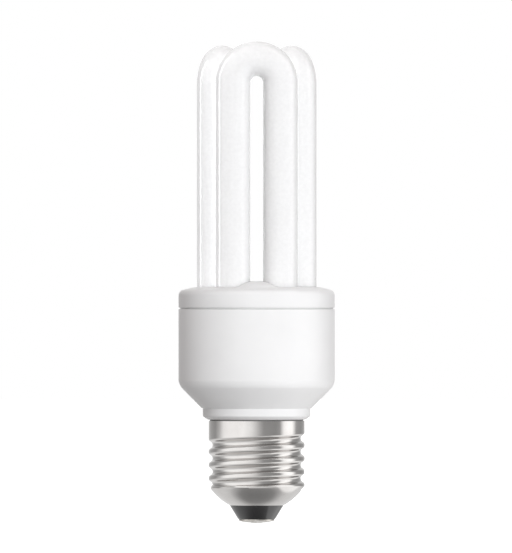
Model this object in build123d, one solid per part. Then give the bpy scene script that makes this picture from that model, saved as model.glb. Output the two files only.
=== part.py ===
from build123d import *
from math import acos, asin, atan2, cos, degrees, hypot, radians, sin, sqrt
import os

# Compact fluorescent lamp. Millimetres, Z up the lamp's axis, origin under the centre contact.

# Screw cap
thread_pitch = 25.4 / 7
thread_crest_radius = 13.1
thread_depth = 1.1
crest_flat = 0.05
thread_runout_turns = 0.3
thread_start_angle = 157
thread_foot_z = 6.5
cap_sheet = 0.3
cap_length = 28.2
cap_rim_gap = 0.35
plain_band = 3.4
cap_hole_radius = 7.4
bowl_radius = 15.6
bowl_centre_z = 18.57
cap_fit = 0.05

# Insulator and centre contact
contact_height = 1.0
contact_rim = 0.35
contact_radius = 4.85
stem_radius = 1.2
stem_length = 4.6
stem_bore_radius = 0.5
stem_bore_depth = 3.2
glass_foot_radius = 5.0
glass_top_radius = 9.6

# Ballast housing
housing_radius = 21.3
housing_wall = 1.8
wall_height = 20.6
wall_corner = 3.5
cone_height = 6.4
cone_foot_radius = 15.0
ring_radius = 14.7
ring_height = 3.1
ring_chamfer_height = 0.9
ring_foot_radius = 13.35
neck_wall = 1.5
neck_band_depth = 2.0
neck_step = 0.8
neck_foot_gap = 2.25
neck_clearance = 0.1
wire_groove_length = 6.0
wire_groove_width = 1.1

# Half-lap joint between the housing and the collar
rim_wall = 0.9
lap_depth = 5.0
lap_clearance = 0.05
snap_height = 0.18
snap_half_width = 0.5
snap_rise = 2.0
seam_gap = 0.35
seam_depth = 0.45

# Collar
collar_height = 6.1
collar_corner = 1.6
crown_radius = 16.6
crown_drop = 1.1
crown_round = 14.0
collar_wall = 1.8
web_height = 1.5
web_half_width = 5.5
web_reach = 12.5
leg_hole_clearance = 0.25
cement_depth = 2.0
cement_gap = 0.02

# Discharge tube
tube_radius = 4.7
tube_wall = 0.9
leg_spacing = 12.9
u_offset = 9.7
tube_rise = 66.7
rear_drop = 0.9
rear_offset = 10.85
rear_turn = 10.0
leg_depth = 6.0
bridge_radius = 2.2
bridge_drop = 3.2
pinch_width = 6.4
pinch_thickness = 1.8
pinch_length = 1.8
pinch_edge = 0.6
electrode_spacing = 3.2

# Circuit board
board_thickness = 1.6
board_clearance = 0.1
key_width = 2.4
key_depth = 1.0
key_clearance = 0.15
lead_radius = 0.3
lead_clearance = 0.15
solder_tail = 0.8

# Storage capacitor
can_radius = 5.0
can_length = 20.0
can_drop = 14.0
can_edge = 0.8
can_groove = 0.4
can_groove_drop = 2.4
can_lead_spacing = 5.0

# Lamp choke
choke_width = 16.0
choke_depth = 5.0
core_half_height = 7.2
core_yoke = 2.2
core_leg = 2.1
core_centre_leg = 4.0
core_air_gap = 0.1
bobbin_wall = 0.7
bobbin_clearance = 0.15
flange_depth = 10.6
winding_depth = 10.0
winding_corner = 2.0
choke_pin_spacing = 8.0

# Drive transformer
ring_core_radius = 4.0
ring_core_bore = 2.2
ring_core_height = 4.0
ring_wire = 0.5
winding_gap = 0.05
winding_count = 3
winding_span = 70
winding_lead_inset = 10

# Power transistors
transistor_width = 7.8
transistor_thickness = 2.7
transistor_height = 10.8
transistor_stand = 2.0
transistor_hole_radius = 1.6
transistor_hole_drop = 3.75
transistor_lead_spacing = 2.28
transistor_edge = 0.3

# Film capacitors
film_stand = 0.4
film_edge = 0.8
resonant_size = (10.0, 4.5, 9.0)
blocking_size = (8.0, 3.6, 8.0)
start_size = (5.0, 3.0, 5.0)
film_lead_inset = 1.25

# Axial parts stood on end
axial_stand = 0.3
axial_loop = 1.0
axial_bend = 0.7
diode_radius = 1.35
diode_length = 5.2
diode_pitch = 2.9
trigger_radius = 0.9
trigger_length = 3.8
trigger_pitch = 2.2
resistor_radius = 1.2
resistor_cap = 0.15
resistor_cap_length = 1.4
resistor_length = 6.3
resistor_pitch = 2.6

# Filter choke
drum_radius = 4.0
drum_core_radius = 2.0
drum_height = 9.0
drum_flange = 1.0
drum_winding_radius = 3.6
drum_lead_spacing = 5.0

# Supply leads into the cap
fuse_radius = 1.6
fuse_length = 10.0
fuse_drop = 18.0
fuse_place = 7.6
fuse_bend = 2.0
fuse_turn_rise = 5.0
shell_wire_radius = 0.35
shell_wire_place = 9.3
shell_wire_bend = 0.9
shell_wire_gap = 0.05

# Places on the board, seen from above: x and y as shares of its radius, and turn
can_place = (0.0, 0.0, 0)
choke_place = (0.0, 0.542, 0)
drive_place = (-0.222, -0.611, 0)
transistor_places = [(-0.616, 0.197, 90), (-0.616, -0.296, 90)]
resonant_place = (0.640, 0.271, 90)
blocking_place = (0.0, -0.182, 0)
start_place = (0.0, 0.148, 0)
diode_places = [(0.148, -0.764, 100), (0.340, -0.700, 116), (0.507, -0.586, 131), (0.167, -0.424, 8)]
trigger_place = (-0.557, 0.557, -45)
resistor_places = [(-0.394, 0.207, -23), (-0.345, -0.222, 203), (0.325, -0.197, 242), (0.320, 0.177, 200)]
filter_place = (0.640, -0.296, 90)

# Heights and radii that follow from the sizes above
ring_top_z = cap_length + ring_height
cone_top_z = ring_top_z + cone_height
seam_z = cone_top_z + wall_height
land_z = seam_z + collar_height
plate_under_z = land_z - collar_wall
board_top_z = seam_z - lap_depth
board_seat_z = board_top_z - board_thickness
thread_turns = (cap_length - plain_band - thread_foot_z) / thread_pitch - thread_runout_turns
thread_outer_radius = thread_crest_radius + crest_flat
thread_root_radius = thread_outer_radius - thread_depth
thread_arc = (thread_depth**2 + (thread_pitch / 2) ** 2) / (4 * thread_depth)
housing_bore = housing_radius - housing_wall
lap_bore = housing_radius - rim_wall
board_radius = lap_bore - board_clearance
neck_radius = thread_root_radius - cap_sheet - neck_clearance
neck_bore = neck_radius - neck_wall
neck_foot_z = bowl_centre_z - sqrt((bowl_radius - cap_sheet) ** 2 - neck_radius**2) + neck_foot_gap
leg_end_z = plate_under_z - leg_depth + tube_radius
bridge_z = plate_under_z - bridge_drop
pinch_end_z = leg_end_z - tube_radius - pinch_length
drill_radius = lead_radius + lead_clearance
lead_tail = board_thickness + solder_tail
overcut = 1.0
on_foot = (Align.CENTER, Align.CENTER, Align.MIN)
from_top = (Align.CENTER, Align.CENTER, Align.MAX)

# Frames of the three bends: the front one square on, the rear pair turned so that their inner legs
# stand behind the front legs
front_bend = Pos(0, -u_offset, 0)
right_bend = Rot(0, 0, 120) * Pos(0, -rear_offset, 0) * Rot(0, 0, -rear_turn)
left_bend = Rot(0, 0, 240) * Pos(0, -rear_offset, 0) * Rot(0, 0, rear_turn)
bends = [(front_bend, 0), (right_bend, rear_drop), (left_bend, rear_drop)]
legs = []
for bend, drop in bends:
    for side in (-1, 1):
        legs.append((bend * Pos(side * leg_spacing / 2, 0, 0)).position)
bridged_legs = [(legs[1], legs[2]), (legs[5], legs[0])]
electrode_legs = [legs[3], legs[4]]
cement_radius = (max(hypot(leg.X, leg.Y) for leg in legs) + tube_radius + housing_bore) / 2

os.makedirs("parts", exist_ok=True)


def turned(*lines):
    # Solid of revolution about the lamp's axis, from lines and arcs drawn as radius and height
    outline = Plane.XZ * make_face(Wire(lines))
    return revolve(outline, axis=Axis.Z)


def wire_along(points, bend, radius):
    # Round wire through the points with tangent bends
    path = FilletPolyline(*points, radius=bend)
    return sweep(Plane(path @ 0, z_dir=path % 0) * Circle(radius), path=path)


def bowl_z(radius, inset):
    # Height of the cap's round foot at a radius, for the sheet's skin moved in by inset
    return bowl_centre_z - sqrt((bowl_radius - inset) ** 2 - radius**2)


def bowl_arc(inner, outer, inset):
    reach = bowl_radius - inset
    start = -degrees(acos(inner / reach))
    end = -degrees(acos(outer / reach))
    return CenterArc((0, bowl_centre_z), reach, start, end - start)


# Screw shell

def cap_blank(inset, top_z):
    # The cap before its thread is rolled, as a solid plug
    wall = thread_crest_radius - inset
    foot = cap_hole_radius - overcut
    foot_z = bowl_z(foot, inset)
    side = Polyline((wall, bowl_z(wall, inset)), (wall, top_z), (0, top_z), (0, foot_z), (foot, foot_z))
    return turned(*side.edges(), bowl_arc(foot, wall, inset))


def groove_section(inset):
    # One groove of the rolled wave: a root arc that runs tangent into half a crest on each side
    lean = (thread_depth - 2 * thread_arc) / (2 * thread_arc)
    climb = thread_pitch / (4 * thread_arc)
    root_x = thread_root_radius + thread_arc
    crest_x = thread_outer_radius - thread_arc
    root_arc = thread_arc + inset
    crest_arc = thread_arc - inset
    meet = (root_x + lean * root_arc, climb * root_arc)
    shy = asin(sqrt(crest_flat / thread_arc))
    end = (crest_x + crest_arc * cos(shy), thread_pitch / 2 - crest_arc * sin(shy))
    open_x = thread_outer_radius + overcut
    root = ThreePointArc((meet[0], -meet[1]), (root_x - root_arc, 0), meet)
    rise = TangentArc(meet, end, tangent=root % 1)
    fall = TangentArc((meet[0], -meet[1]), (end[0], -end[1]), tangent=-(root % 0))
    mouth = Polyline(end, (open_x, end[1]), (open_x, -end[1]), (end[0], -end[1]))
    return Plane.XZ * make_face([root, rise, fall] + mouth.edges())


def thread_groove(inset):
    # The groove climbs the cap right-handed, then leaves the sheet on a short widening helix
    section = groove_section(inset)
    height = thread_pitch * thread_turns
    runout = thread_pitch * thread_runout_turns
    flare = degrees(atan2(thread_depth + crest_flat, runout))
    climb = sweep(section, path=Helix(thread_pitch, height, thread_root_radius), is_frenet=True)
    leave = sweep(
        section,
        path=Helix(thread_pitch, runout, thread_root_radius, cone_angle=flare),
        is_frenet=True,
    )
    leave = Pos(0, 0, height) * Rot(0, 0, 360 * thread_turns) * leave
    place = Pos(0, 0, thread_foot_z) * Rot(0, 0, thread_start_angle)
    return [place * climb, place * leave]


def screw_shell():
    skin = cap_blank(0, cap_length - cap_rim_gap)
    hollow = cap_blank(cap_sheet, cap_length + overcut)
    for groove in thread_groove(0):
        skin -= groove
    for groove in thread_groove(cap_sheet):
        hollow -= groove
    return skin - hollow - Cylinder(cap_hole_radius, cap_length)


# Insulator and centre contact

def cap_insulator():
    # Black glass: a cone under the cap and a dish that fills the foot of the bowl inside
    hole = cap_hole_radius - cap_fit
    inset = cap_sheet + cap_fit
    bore = stem_radius + cap_fit
    top_z = bowl_z(glass_top_radius, inset)
    side = Polyline(
        (glass_top_radius, top_z),
        (bore, top_z),
        (bore, contact_height),
        (glass_foot_radius, contact_height),
        (hole, bowl_z(cap_hole_radius, 0)),
        (hole, bowl_z(hole, inset)),
    )
    return turned(*side.edges(), bowl_arc(hole, glass_top_radius, inset))


def centre_contact():
    # Domed disc with a stem that is bored for the supply lead
    dome = TangentArc((0, 0), (contact_radius, contact_height - contact_rim), tangent=(1, 0))
    stem_top = contact_height + stem_length
    bore_foot = stem_top - stem_bore_depth
    side = Polyline(
        (contact_radius, contact_height - contact_rim),
        (contact_radius, contact_height),
        (stem_radius, contact_height),
        (stem_radius, stem_top),
        (stem_bore_radius, stem_top),
        (stem_bore_radius, bore_foot),
        (0, bore_foot),
        (0, 0),
    )
    return turned(dome, *side.edges())


# Housing

def snap_ring(radius, height, half_width):
    # Low round bead about the lap joint, or the groove that takes it
    z = board_top_z + snap_rise
    bead = ThreePointArc((radius, z - half_width), (radius + height, z), (radius, z + half_width))
    back = Polyline(bead @ 1, (radius - rim_wall / 2, z + half_width),
                    (radius - rim_wall / 2, z - half_width), bead @ 0)
    return turned(bead, *back.edges())


def rounded_at(outline, radius, height, size):
    # Fillet the corner of a flat outline that lies nearest to a radius and height
    corner = outline.vertices().sort_by_distance((radius, height, 0))[0]
    return fillet(corner, size)


def housing():
    cone_slope = (housing_radius - cone_foot_radius) / cone_height
    wall_run = housing_wall * hypot(1, cone_slope)
    bore_corner_z = ring_top_z + (housing_bore - cone_foot_radius + wall_run) / cone_slope
    neck_top_z = ring_top_z + (neck_bore - cone_foot_radius + wall_run) / cone_slope
    band = thread_crest_radius - cap_sheet - cap_fit
    step_z = cap_length - neck_band_depth
    outline = make_face(Polyline(
        (housing_radius, seam_z),
        (housing_radius, cone_top_z),
        (cone_foot_radius, ring_top_z),
        (ring_radius, ring_top_z),
        (ring_radius, cap_length + ring_chamfer_height),
        (ring_foot_radius, cap_length),
        (band, cap_length),
        (band, step_z),
        (neck_radius, step_z - neck_step),
        (neck_radius, neck_foot_z),
        (neck_bore, neck_foot_z),
        (neck_bore, neck_top_z),
        (housing_bore, bore_corner_z),
        (housing_bore, board_seat_z),
        (lap_bore, board_seat_z),
        (lap_bore, seam_z),
        close=True,
    ))
    outline = rounded_at(outline, housing_radius, cone_top_z, wall_corner)
    outline = rounded_at(outline, housing_bore, bore_corner_z, wall_corner - housing_wall)
    body = revolve(Plane.XZ * outline, axis=Axis.Z)
    body -= snap_ring(lap_bore, snap_height, snap_half_width)
    seat = Pos(0, 0, board_seat_z)
    key = seat * Pos(0, lap_bore, 0) * Box(key_width, 2 * key_depth, board_thickness, align=on_foot)
    body += key & seat * Cylinder(lap_bore + rim_wall / 2, board_thickness, align=on_foot)
    groove_foot = thread_root_radius - cap_sheet - 2 * (shell_wire_radius + shell_wire_gap)
    groove = Pos(-groove_foot, 0, neck_foot_z) * Box(
        neck_wall, wire_groove_width, wire_groove_length, align=(Align.MAX, Align.CENTER, Align.MIN)
    )
    return body - groove


# Discharge tube

def u_path(drop):
    # Centre line of one U, up one leg, over the bend and down the other
    half = leg_spacing / 2
    bend_z = land_z + tube_rise - drop - tube_radius - half
    up = Line((-half, leg_end_z), (-half, bend_z))
    over = ThreePointArc((-half, bend_z), (0, bend_z + half), (half, bend_z))
    down = Line((half, bend_z), (half, leg_end_z))
    return Plane.XZ * Wire([up, over, down])


def between_bridged_legs():
    # Frame halfway between two bridged legs, its X along their line, and the legs' distance
    spans = []
    for one, other in bridged_legs:
        way = other - one
        middle = (one + other) / 2
        spans.append((Pos(middle.X, middle.Y, 0) * Rot(0, 0, degrees(atan2(way.Y, way.X))), way.length))
    return spans


def tube_form(radius, bridge):
    # Three U-bends with domed feet, joined at the feet of two neighbouring pairs of legs
    form = Part()
    for frame, drop in bends:
        path = u_path(drop)
        bend = sweep(Plane(path @ 0, z_dir=path % 0) * Circle(radius), path=path)
        for end in (0, 1):
            bend += Pos(path @ end) * Sphere(radius)
        form += frame * bend
    for middle, length in between_bridged_legs():
        form += Pos(0, 0, bridge_z) * middle * Rot(0, 90, 0) * Cylinder(bridge, length)
    return form


def electrode_feet():
    # Where the two sealed ends stand, each turned so that its pinch lies along the ring of legs
    return [Pos(leg.X, leg.Y, 0) * Rot(0, 0, degrees(atan2(leg.Y, leg.X))) for leg in electrode_legs]


def discharge_tube():
    glass = tube_form(tube_radius, bridge_radius)
    pinch_top = leg_end_z - tube_radius / 2
    for foot in electrode_feet():
        press = Box(pinch_thickness, pinch_width, pinch_top - pinch_end_z, align=on_foot)
        press = fillet(press.edges().filter_by(Axis.Z), pinch_edge)
        glass += foot * Pos(0, 0, pinch_end_z) * press
    return glass - tube_form(tube_radius - tube_wall, bridge_radius - tube_wall)


def tube_leads():
    # Four electrode leads, from the pinches down to the board's lower face
    length = pinch_end_z - board_seat_z
    leads = []
    for foot in electrode_feet():
        for side in (-1, 1):
            lead = Cylinder(lead_radius, length, align=from_top)
            leads.append(foot * Pos(0, side * electrode_spacing / 2, pinch_end_z) * lead)
    return Compound(children=leads)


# Collar

def web_lobes(drop):
    # Raised rounded web between the legs of each U, the three meeting on the axis
    round_radius = (web_half_width**2 + web_height**2) / (2 * web_height)
    centre_z = land_z + web_height - round_radius - drop
    lobes = Part()
    for frame, _ in bends:
        middle = frame.position
        along = Rot(0, 0, degrees(atan2(middle.Y, middle.X))) * Pos(0, 0, centre_z)
        ridge = Rot(0, 90, 0) * Cylinder(round_radius, web_reach, align=on_foot)
        lobes += along * (ridge + Pos(web_reach, 0, 0) * Sphere(round_radius))
    clip = Cylinder(housing_radius, web_height + 2 * overcut, align=on_foot)
    return lobes & Pos(0, 0, land_z - drop - overcut) * clip


def leg_holes():
    # Round holes for the legs, opened into each other where a bridge has to pass through
    radius = tube_radius + leg_hole_clearance
    depth = 2 * collar_height
    holes = Part()
    for leg in legs:
        holes += Pos(leg.X, leg.Y, land_z) * Cylinder(radius, depth)
    for middle, length in between_bridged_legs():
        slot = Box(length, 2 * (bridge_radius + leg_hole_clearance), depth)
        holes += Pos(0, 0, land_z) * middle * slot
    return holes


def collar():
    # Lid that slopes a little to its edge, with a shadow groove at the seam and a lip in the housing
    skirt_z = seam_z + seam_gap
    seat_z = seam_z + lap_clearance
    edge_z = land_z - crown_drop
    groove = housing_radius - seam_depth
    lip = lap_bore - lap_clearance
    outline = make_face(Polyline(
        (0, land_z),
        (crown_radius, land_z),
        (housing_radius, edge_z),
        (housing_radius, skirt_z),
        (groove, skirt_z),
        (groove, seat_z),
        (lip, seat_z),
        (lip, board_top_z),
        (housing_bore, board_top_z),
        (housing_bore, plate_under_z),
        (0, plate_under_z),
        close=True,
    ))
    outline = rounded_at(outline, crown_radius, land_z, crown_round)
    outline = rounded_at(outline, housing_radius, edge_z, collar_corner)
    body = revolve(Plane.XZ * outline, axis=Axis.Z)
    body += snap_ring(lip, snap_height - lap_clearance, snap_half_width - lap_clearance)
    body = body + web_lobes(0) - web_lobes(collar_wall)
    return body - leg_holes()


def tube_cement():
    # Flat pool of silicone under the collar that grips the legs
    pool = Pos(0, 0, plate_under_z) * Cylinder(cement_radius, cement_depth, align=from_top)
    return pool - tube_form(tube_radius + cement_gap, bridge_radius + cement_gap)


# Ballast parts, each drawn with the board at its foot and hung under the board by hang()

def hang(part, place):
    x, y, turn = place
    spot = Pos(x * board_radius, y * board_radius, board_seat_z)
    return spot * Rot(0, 0, turn) * Rot(180, 0, 0) * part


def straight_leads(points, top_z):
    leads = Part()
    for x, y in points:
        lead = Cylinder(lead_radius, top_z + lead_tail, align=on_foot)
        leads += Pos(x, y, -lead_tail) * lead
    return leads


def pair_points(spacing):
    return [(-spacing / 2, 0), (spacing / 2, 0)]


def storage_capacitor():
    # Rolled can on long leads, so that it reaches down into the cool screw cap
    lead_end = can_drop + can_edge
    groove_z = can_drop + can_groove_drop
    outline = make_face(Polyline(
        (0, can_drop), (can_radius, can_drop), (can_radius, can_drop + can_length),
        (0, can_drop + can_length), close=True,
    ))
    outline = rounded_at(outline, can_radius, can_drop, can_edge)
    outline = rounded_at(outline, can_radius, can_drop + can_length, can_edge)
    can = revolve(Plane.XZ * outline, axis=Axis.Z)
    can -= Pos(0, 0, groove_z) * Torus(can_radius + can_groove, 2 * can_groove)
    return can + straight_leads(pair_points(can_lead_spacing), lead_end)


def core_half():
    # Ferrite E with its yoke at the foot and its three legs up
    window = (choke_width - core_centre_leg) / 2 - core_leg
    outline = Rectangle(choke_width, core_half_height, align=(Align.CENTER, Align.MIN))
    for side in (-1, 1):
        middle = side * (core_centre_leg + window) / 2
        outline -= Pos(middle, core_yoke) * Rectangle(
            window, core_half_height, align=(Align.CENTER, Align.MIN)
        )
    return extrude(Plane.XZ * outline, amount=choke_depth / 2, both=True)


def choke_cores():
    lower = Pos(0, 0, axial_stand) * core_half()
    top_z = axial_stand + 2 * core_half_height + core_air_gap
    upper = Pos(0, 0, top_z) * Rot(180, 0, 0) * core_half()
    return lower, upper


def choke_sleeve():
    # Outer width, outer depth, foot and top of the bobbin's tube about the centre legs
    width = core_centre_leg + 2 * (bobbin_clearance + bobbin_wall)
    depth = choke_depth + 2 * (bobbin_clearance + bobbin_wall)
    foot_z = axial_stand + core_yoke + bobbin_clearance
    top_z = axial_stand + 2 * core_half_height + core_air_gap - core_yoke - bobbin_clearance
    return width, depth, foot_z, top_z


def choke_bobbin():
    width, depth, foot_z, top_z = choke_sleeve()
    flange_width = choke_width - 2 * (core_leg + bobbin_clearance)
    body = Pos(0, 0, foot_z) * Box(width, depth, top_z - foot_z, align=on_foot)
    for z in (foot_z, top_z - bobbin_wall):
        body += Pos(0, 0, z) * Box(flange_width, flange_depth, bobbin_wall, align=on_foot)
    body -= Box(width - 2 * bobbin_wall, depth - 2 * bobbin_wall, 4 * core_half_height)
    rail = (flange_depth - choke_depth) / 2 - bobbin_clearance
    rail_y = (flange_depth - rail) / 2
    points = []
    for side in (-1, 1):
        body += Pos(0, side * rail_y, 0) * Box(flange_width, rail, foot_z, align=on_foot)
        points += [(x, side * rail_y) for x, y in pair_points(choke_pin_spacing)]
    return body + straight_leads(points, foot_z / 2), points


def choke_winding():
    width, depth, foot_z, top_z = choke_sleeve()
    turns_width = choke_width - 2 * (core_leg + 2 * bobbin_clearance)
    outline = RectangleRounded(turns_width, winding_depth, winding_corner)
    outline -= Rectangle(width + bobbin_clearance, depth + bobbin_clearance)
    foot_z += bobbin_wall + bobbin_clearance / 2
    top_z -= bobbin_wall + bobbin_clearance / 2
    return Pos(0, 0, foot_z) * extrude(outline, amount=top_z - foot_z)


def ring_section(grow):
    # Section of the ring core, drawn as radius and height and grown on every side
    width = ring_core_radius - ring_core_bore + 2 * grow
    height = ring_core_height + 2 * grow
    middle = (ring_core_radius + ring_core_bore) / 2
    middle_z = ring_wire + winding_gap + ring_core_height / 2
    return Pos(middle, middle_z) * RectangleRounded(width, height, ring_wire / 2 + grow)


def drive_core():
    return revolve(Plane.XZ * ring_section(0), axis=Axis.Z)


def drive_windings():
    # Three windings, each a sleeve of turns round a third of the ring
    section = ring_section(ring_wire + winding_gap) - ring_section(winding_gap)
    middle = (ring_core_radius + ring_core_bore) / 2
    sleeves = []
    points = []
    for turn in range(winding_count):
        start = turn * 360 / winding_count
        ends = []
        for angle in (start + winding_lead_inset, start + winding_span - winding_lead_inset):
            ends.append((middle * cos(radians(angle)), middle * sin(radians(angle))))
        sleeve = revolve(Plane.XZ * section, axis=Axis.Z, revolution_arc=winding_span)
        sleeves.append(Rot(0, 0, start) * sleeve + straight_leads(ends, ring_wire / 2))
        points += ends
    return Compound(children=sleeves), points


def power_transistor():
    # Flat moulded case with a screw hole, stood on three leads
    case = Box(transistor_width, transistor_thickness, transistor_height, align=on_foot)
    case = chamfer(case.edges().group_by(Axis.Z)[-1], transistor_edge)
    hole_z = transistor_height - transistor_hole_drop
    case -= Pos(0, 0, hole_z) * Rot(90, 0, 0) * Cylinder(transistor_hole_radius, 2 * transistor_thickness)
    points = [(n * transistor_lead_spacing, 0) for n in (-1, 0, 1)]
    return Pos(0, 0, transistor_stand) * case + straight_leads(points, 2 * transistor_stand), points


def film_capacitor(size):
    # Dipped block with soft edges on two leads
    width, thickness, height = size
    block = Box(width, thickness, height, align=on_foot)
    block = fillet(block.edges(), film_edge)
    points = pair_points(width - 2 * film_lead_inset)
    return Pos(0, 0, film_stand) * block + straight_leads(points, film_stand + film_edge), points


def axial_part(body, length, pitch):
    # Body stood on one lead, with the other bent over and back down to the board
    top_z = axial_stand + length
    loop = wire_along(
        [(0, 0, top_z - axial_stand), (0, 0, top_z + axial_loop),
         (pitch, 0, top_z + axial_loop), (pitch, 0, -lead_tail)],
        axial_bend,
        lead_radius,
    )
    stood = Pos(0, 0, axial_stand) * body + straight_leads([(0, 0)], 2 * axial_stand) + loop
    return stood, [(0, 0), (pitch, 0)]


def plain_body(radius, length):
    body = Cylinder(radius, length, align=on_foot)
    return chamfer(body.edges().filter_by(GeomType.CIRCLE), lead_radius / 2)


def resistor_body():
    # Waisted body with a wider cap at each end
    body = Cylinder(resistor_radius - resistor_cap, resistor_length, align=on_foot)
    for end in (resistor_cap_length / 2, resistor_length - resistor_cap_length / 2):
        cap = Cylinder(resistor_radius, resistor_cap_length)
        body += Pos(0, 0, end) * fillet(cap.edges().filter_by(GeomType.CIRCLE), resistor_cap)
    return body


def filter_core():
    # Ferrite drum with two pins set in its lower flange
    drum = Polyline(
        (0, 0),
        (drum_radius, 0),
        (drum_radius, drum_flange),
        (drum_core_radius, drum_flange),
        (drum_core_radius, drum_height - drum_flange),
        (drum_radius, drum_height - drum_flange),
        (drum_radius, drum_height),
        (0, drum_height),
        close=True,
    )
    points = pair_points(drum_lead_spacing)
    return turned(*drum.edges()) + straight_leads(points, drum_flange / 2), points


def filter_winding():
    # Turns of wire between the drum's flanges
    span = drum_height - 2 * (drum_flange + winding_gap)
    turns = Cylinder(drum_winding_radius, span) - Cylinder(drum_core_radius + winding_gap, span)
    return Pos(0, 0, drum_height / 2) * turns


# Supply leads, drawn where they lie in the lamp

def fusible_resistor():
    # Hangs from the board beside the can, its lower lead turned in to the contact's stem
    top_z = board_seat_z - fuse_drop
    foot_z = top_z - fuse_length
    stem_top = contact_height + stem_length
    turn_z = stem_top + fuse_turn_rise
    body = Cylinder(fuse_radius, fuse_length, align=from_top)
    body = fillet(body.edges().filter_by(GeomType.CIRCLE), fuse_radius / 2)
    upper = Cylinder(lead_radius, fuse_drop + lead_tail + fuse_radius, align=on_foot)
    lower = wire_along(
        [(fuse_place, 0, foot_z + fuse_radius), (fuse_place, 0, turn_z), (0, 0, turn_z),
         (0, 0, stem_top - stem_bore_depth)],
        fuse_bend,
        lead_radius,
    )
    return Pos(fuse_place, 0, top_z) * (body + Pos(0, 0, -fuse_radius) * upper) + lower


def shell_wire():
    # Runs down inside the neck, turns under its foot and is pinched against the shell
    outer = thread_root_radius - cap_sheet - shell_wire_gap - shell_wire_radius
    turn_z = neck_foot_z - shell_wire_bend
    return wire_along(
        [(-shell_wire_place, 0, board_top_z + solder_tail), (-shell_wire_place, 0, turn_z),
         (-outer, 0, turn_z), (-outer, 0, neck_foot_z + wire_groove_length - shell_wire_bend)],
        shell_wire_bend,
        shell_wire_radius,
    )


# Circuit board

def lead_holes(points):
    holes = Part()
    for x, y in points:
        holes += Pos(x, y, 0) * Cylinder(drill_radius, 4 * board_thickness)
    return holes


def circuit_board(drilled):
    # Round board with a hole for every lead and a notch for the housing's key
    board = Pos(0, 0, board_seat_z) * Cylinder(board_radius, board_thickness, align=on_foot)
    notch = Box(key_width + 2 * key_clearance, 2 * (key_depth + key_clearance), 4 * board_thickness)
    board -= Pos(0, lap_bore, board_seat_z) * notch
    supply = [(fuse_place, 0), (-shell_wire_place, 0)]
    for foot in electrode_feet():
        for side in (-1, 1):
            at = (foot * Pos(0, side * electrode_spacing / 2, 0)).position
            supply.append((at.X, at.Y))
    for holes in drilled + [Pos(0, 0, board_seat_z) * lead_holes(supply)]:
        board -= holes
    return board


# Assembly

nodes = {
    "discharge_tube": discharge_tube(),
    "tube_leads": tube_leads(),
    "tube_cement": tube_cement(),
    "collar": collar(),
    "housing": housing(),
    "screw_shell": screw_shell(),
    "cap_insulator": cap_insulator(),
    "centre_contact": centre_contact(),
    "fusible_resistor": fusible_resistor(),
    "shell_wire": shell_wire(),
}
drilled = []


def mount(name, part, points, place):
    nodes[name] = hang(part, place)
    drilled.append(hang(lead_holes(points), place))


mount("storage_capacitor", storage_capacitor(), pair_points(can_lead_spacing), can_place)
mount("choke_bobbin", *choke_bobbin(), choke_place)
nodes["choke_winding"] = hang(choke_winding(), choke_place)
for number, half in enumerate(choke_cores(), 1):
    nodes[f"choke_core_{number}"] = hang(half, choke_place)
nodes["drive_core"] = hang(drive_core(), drive_place)
mount("drive_windings", *drive_windings(), drive_place)
mount("filter_core", *filter_core(), filter_place)
nodes["filter_winding"] = hang(filter_winding(), filter_place)
mount("resonant_capacitor", *film_capacitor(resonant_size), resonant_place)
mount("blocking_capacitor", *film_capacitor(blocking_size), blocking_place)
mount("start_capacitor", *film_capacitor(start_size), start_place)
trigger = axial_part(plain_body(trigger_radius, trigger_length), trigger_length, trigger_pitch)
mount("trigger_diode", *trigger, trigger_place)
for number, place in enumerate(transistor_places, 1):
    mount(f"power_transistor_{number}", *power_transistor(), place)
for number, place in enumerate(diode_places, 1):
    diode = axial_part(plain_body(diode_radius, diode_length), diode_length, diode_pitch)
    mount(f"rectifier_diode_{number}", *diode, place)
for number, place in enumerate(resistor_places, 1):
    resistor = axial_part(resistor_body(), resistor_length, resistor_pitch)
    mount(f"resistor_{number}", *resistor, place)
nodes["circuit_board"] = circuit_board(drilled)

for name, part in nodes.items():
    export_step(part, f"parts/{name}.step")
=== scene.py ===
import bpy
import bmesh
import math
from mathutils import Euler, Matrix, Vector


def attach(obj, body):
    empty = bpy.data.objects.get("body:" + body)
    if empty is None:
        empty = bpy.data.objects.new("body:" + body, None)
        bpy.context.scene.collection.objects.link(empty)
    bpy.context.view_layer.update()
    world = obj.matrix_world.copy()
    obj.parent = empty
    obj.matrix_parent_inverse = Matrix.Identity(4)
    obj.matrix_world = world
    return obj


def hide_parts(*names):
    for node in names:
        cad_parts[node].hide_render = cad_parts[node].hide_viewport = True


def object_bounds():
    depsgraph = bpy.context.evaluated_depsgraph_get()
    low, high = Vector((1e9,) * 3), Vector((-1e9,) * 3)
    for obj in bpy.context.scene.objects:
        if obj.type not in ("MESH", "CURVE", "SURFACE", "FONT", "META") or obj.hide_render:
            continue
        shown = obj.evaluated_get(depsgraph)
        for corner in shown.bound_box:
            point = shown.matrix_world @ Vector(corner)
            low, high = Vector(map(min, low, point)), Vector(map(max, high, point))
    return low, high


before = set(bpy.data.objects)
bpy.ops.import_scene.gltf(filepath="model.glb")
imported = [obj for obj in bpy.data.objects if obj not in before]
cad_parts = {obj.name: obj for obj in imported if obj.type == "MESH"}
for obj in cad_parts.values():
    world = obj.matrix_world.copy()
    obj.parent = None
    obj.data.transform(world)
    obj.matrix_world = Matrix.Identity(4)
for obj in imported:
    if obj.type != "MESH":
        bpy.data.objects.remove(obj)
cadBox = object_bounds()
print("CAD frame loaded:", len(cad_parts), "nodes")

mm = 0.001
near = 0.01  # mm, counts as the same place
mergeReach = 0.002  # mm, points this close become one


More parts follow.
